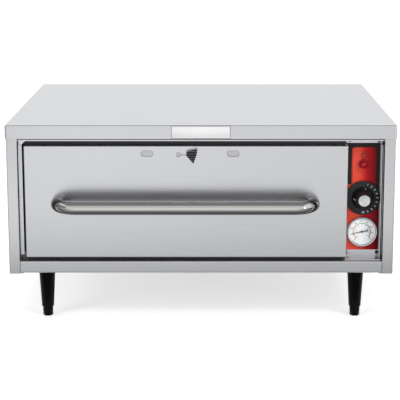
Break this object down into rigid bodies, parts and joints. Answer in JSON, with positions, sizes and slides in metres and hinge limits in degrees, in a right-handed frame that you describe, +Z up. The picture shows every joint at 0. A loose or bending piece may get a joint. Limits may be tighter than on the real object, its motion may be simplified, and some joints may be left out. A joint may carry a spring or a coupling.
{
  "type": "countertop warming drawer",
  "caption": "Stainless countertop warming drawer with a roller-slide drawer, food pan, thermostat knob, lamp, dial thermometer and black adjustable legs.",
  "frame": {"origin": "on the counter, under the middle of the whole object's box", "axes": "+X to the right as seen by the user at the drawer, +Y from the drawer front to the back, +Z up"},
  "size_m": [0.7366, 0.6406, 0.3888],
  "materials": {
    "stainless": "brushed stainless sheet, grain along the width",
    "plated_steel": "mill-finish plated sheet",
    "screw_steel": "bright zinc-plated screws",
    "black_nylon": "glossy black moulded nylon",
    "knob_black": "satin black phenolic",
    "cap_aluminium": "turned disc with a radial sheen",
    "wheel_nylon": "natural moulded nylon",
    "red_label": "glossy printed overlay",
    "red_lens": "translucent red lens",
    "bezel_chrome": "polished bezel",
    "dial_face": "white printed dial",
    "dial_glass": "clear flat glass",
    "pointer_black": "black painted needle",
    "element_sheath": "oxidised heater sheath",
    "copper_tube": "drawn copper capillary",
    "blanket": "fibre blanket",
    "moulded_base": "moulded thermoset"
  },
  "bodies": {
    "cabinet": {"top_cover": "stainless", "left_side_panel": "stainless", "right_side_panel": "stainless", "base_pan": "stainless", "head_rail": "stainless", "back_panel": "plated_steel", "rear_screws": "screw_steel", "opening_frame": "stainless", "cavity_liner": "plated_steel", "insulation": "blanket", "nameplate": "stainless", "control_panel": "stainless", "control_label": "red_label", "panel_screws": "screw_steel", "panel_brackets": "plated_steel", "thermostat_body": "moulded_base", "lamp_lens": "red_lens", "lamp_body": "black_nylon", "thermometer_case": "bezel_chrome", "thermometer_dial": "dial_face", "thermometer_lens": "dial_glass", "capillary_bulbs": "copper_tube", "heating_element": "element_sheath", "element_supports": "plated_steel", "terminal_block": "moulded_base", "cord_gland": "black_nylon", "legs": "black_nylon", "leg_plates": "plated_steel", "leg_studs": "screw_steel", "fixed_rails": "plated_steel"},
    "drawer": {"drawer_front": "stainless", "drawer_inner_panel": "stainless", "drawer_sides": "plated_steel", "drawer_rear_bar": "plated_steel", "pan_frame": "stainless", "food_pan": "stainless", "handle": "stainless", "handle_bolts": "screw_steel", "vent_guides": "stainless"},
    "vent": {"vent_shutter": "stainless", "vent_knob": "black_nylon"},
    "middle_left": {"middle_rail_left": "plated_steel"},
    "middle_right": {"middle_rail_right": "plated_steel"},
    "thermostat_knob": {"knob": "knob_black", "knob_cap": "cap_aluminium", "thermostat_shaft": "screw_steel"},
    "pointer": {"thermometer_pointer": "pointer_black"},
    "middle_wheel_front_left": {"middle_wheel_front_left": "wheel_nylon"},
    "middle_wheel_front_right": {"middle_wheel_front_right": "wheel_nylon"},
    "middle_wheel_rear_left": {"middle_wheel_rear_left": "wheel_nylon"},
    "middle_wheel_rear_right": {"middle_wheel_rear_right": "wheel_nylon"},
    "drawer_wheel_front_left": {"drawer_wheel_front_left": "wheel_nylon"},
    "drawer_wheel_front_right": {"drawer_wheel_front_right": "wheel_nylon"},
    "drawer_wheel_rear_left": {"drawer_wheel_rear_left": "wheel_nylon"},
    "drawer_wheel_rear_right": {"drawer_wheel_rear_right": "wheel_nylon"},
    "foot_front_left": {"foot_front_left": "black_nylon"},
    "foot_front_right": {"foot_front_right": "black_nylon"},
    "foot_rear_left": {"foot_rear_left": "black_nylon"},
    "foot_rear_right": {"foot_rear_right": "black_nylon"}
  },
  "joints": [
    {"name": "drawer_slide", "type": "slide", "parent": "cabinet", "child": "drawer", "axis": [0, -1, 0], "range_m": [0, 0.4]},
    {"name": "middle_left_slide", "type": "slide", "parent": "cabinet", "child": "middle_left", "axis": [0, -1, 0], "range_m": [0, 0.2]},
    {"name": "middle_right_slide", "type": "slide", "parent": "cabinet", "child": "middle_right", "axis": [0, -1, 0], "range_m": [0, 0.2]},
    {"name": "vent_slide", "type": "slide", "parent": "drawer", "child": "vent", "axis": [-1, 0, 0], "range_m": [0, 0.025]},
    {"name": "knob_turn", "type": "hinge", "parent": "cabinet", "child": "thermostat_knob", "pos_m": [0.31, -0.25165, 0.2421], "axis": [0, -1, 0], "range_deg": [0, 180]},
    {"name": "pointer_turn", "type": "hinge", "parent": "cabinet", "child": "pointer", "pos_m": [0.31, -0.22765, 0.1754], "axis": [0, 1, 0], "range_deg": [-25, 230], "stiffness_Nm_per_rad": 0.002},
    {"name": "middle_wheel_front_left_roll", "type": "hinge", "parent": "middle_left", "child": "middle_wheel_front_left", "pos_m": [-0.318, 0.00235, 0.285], "axis": [1, 0, 0], "continuous": true},
    {"name": "middle_wheel_front_right_roll", "type": "hinge", "parent": "middle_right", "child": "middle_wheel_front_right", "pos_m": [0.261, 0.00235, 0.285], "axis": [1, 0, 0], "continuous": true},
    {"name": "middle_wheel_rear_left_roll", "type": "hinge", "parent": "middle_left", "child": "middle_wheel_rear_left", "pos_m": [-0.318, 0.20235, 0.285], "axis": [1, 0, 0], "continuous": true},
    {"name": "middle_wheel_rear_right_roll", "type": "hinge", "parent": "middle_right", "child": "middle_wheel_rear_right", "pos_m": [0.261, 0.20235, 0.285], "axis": [1, 0, 0], "continuous": true},
    {"name": "drawer_wheel_front_left_roll", "type": "hinge", "parent": "drawer", "child": "drawer_wheel_front_left", "pos_m": [-0.318, -0.00365, 0.285], "axis": [1, 0, 0], "continuous": true},
    {"name": "drawer_wheel_front_right_roll", "type": "hinge", "parent": "drawer", "child": "drawer_wheel_front_right", "pos_m": [0.261, -0.00365, 0.285], "axis": [1, 0, 0], "continuous": true},
    {"name": "drawer_wheel_rear_left_roll", "type": "hinge", "parent": "drawer", "child": "drawer_wheel_rear_left", "pos_m": [-0.318, 0.19635, 0.285], "axis": [1, 0, 0], "continuous": true},
    {"name": "drawer_wheel_rear_right_roll", "type": "hinge", "parent": "drawer", "child": "drawer_wheel_rear_right", "pos_m": [0.261, 0.19635, 0.285], "axis": [1, 0, 0], "continuous": true},
    {"name": "foot_front_left_screw", "type": "slide", "parent": "cabinet", "child": "foot_front_left", "axis": [0, 0, -1], "range_m": [0, 0.02]},
    {"name": "foot_front_right_screw", "type": "slide", "parent": "cabinet", "child": "foot_front_right", "axis": [0, 0, -1], "range_m": [0, 0.02]},
    {"name": "foot_rear_left_screw", "type": "slide", "parent": "cabinet", "child": "foot_rear_left", "axis": [0, 0, -1], "range_m": [0, 0.02]},
    {"name": "foot_rear_right_screw", "type": "slide", "parent": "cabinet", "child": "foot_rear_right", "axis": [0, 0, -1], "range_m": [0, 0.02]}
  ],
  "couplings": [
    {"joint": "middle_left_slide", "follows": "drawer_slide", "ratio": 0.5},
    {"joint": "middle_right_slide", "follows": "drawer_slide", "ratio": 0.5},
    {"joint": "middle_wheel_front_left_roll", "follows": "drawer_slide", "rad_per_m": 33.333},
    {"joint": "middle_wheel_front_right_roll", "follows": "drawer_slide", "rad_per_m": 33.333},
    {"joint": "middle_wheel_rear_left_roll", "follows": "drawer_slide", "rad_per_m": 33.333},
    {"joint": "middle_wheel_rear_right_roll", "follows": "drawer_slide", "rad_per_m": 33.333},
    {"joint": "drawer_wheel_front_left_roll", "follows": "drawer_slide", "rad_per_m": 33.333},
    {"joint": "drawer_wheel_front_right_roll", "follows": "drawer_slide", "rad_per_m": 33.333},
    {"joint": "drawer_wheel_rear_left_roll", "follows": "drawer_slide", "rad_per_m": 33.333},
    {"joint": "drawer_wheel_rear_right_roll", "follows": "drawer_slide", "rad_per_m": 33.333}
  ]
}
